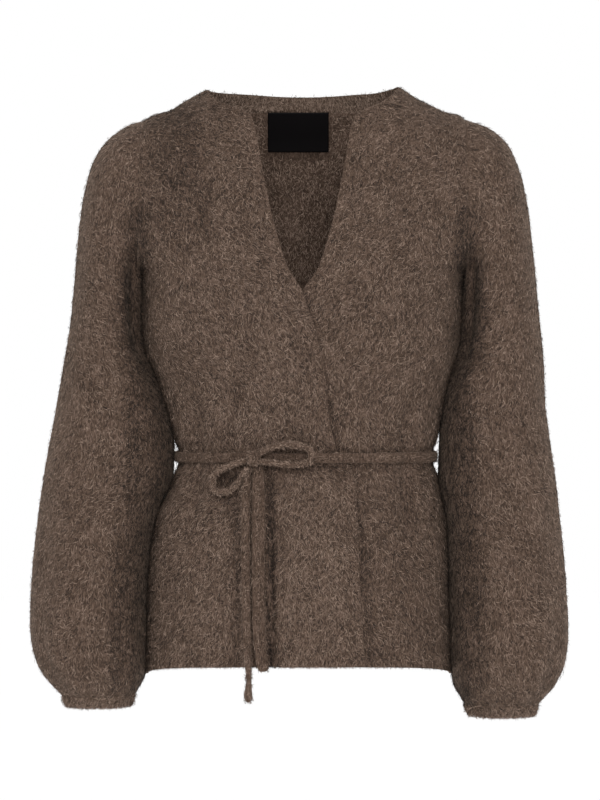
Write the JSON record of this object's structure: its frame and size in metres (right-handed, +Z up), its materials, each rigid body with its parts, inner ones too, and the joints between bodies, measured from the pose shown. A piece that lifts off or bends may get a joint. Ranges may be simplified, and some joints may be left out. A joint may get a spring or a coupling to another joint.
{
  "type": "wrap cardigan",
  "caption": "Wrap cardigan in brushed mohair-look knit, shown filled out: V neck, full sleeves gathered into ribbed cuffs, and a narrow tie belt in a bow.",
  "frame": {"origin": "middle of the neck, at the height of the points where the shoulder seams meet the neckline", "axes": "+Z up, +X to the wearer's left, the front faces -Y"},
  "size_m": [0.5716, 0.2389, 0.6675],
  "materials": {
    "mohair_knit": "matte",
    "ribbed_knit": "matte",
    "satin_label": "satin"
  },
  "bodies": {
    "root": {"back": "mohair_knit", "front_outer": "mohair_knit", "front_under": "mohair_knit", "sleeve_right": "mohair_knit", "sleeve_left": "mohair_knit", "cuff_right": "ribbed_knit", "cuff_left": "ribbed_knit", "neck_band": "ribbed_knit", "belt_waist": "mohair_knit", "belt_knot": "mohair_knit", "belt_loop_right": "mohair_knit", "belt_loop_left": "mohair_knit", "belt_tail_long": "mohair_knit", "belt_tail_short": "mohair_knit", "label": "satin_label"}
  },
  "joints": []
}
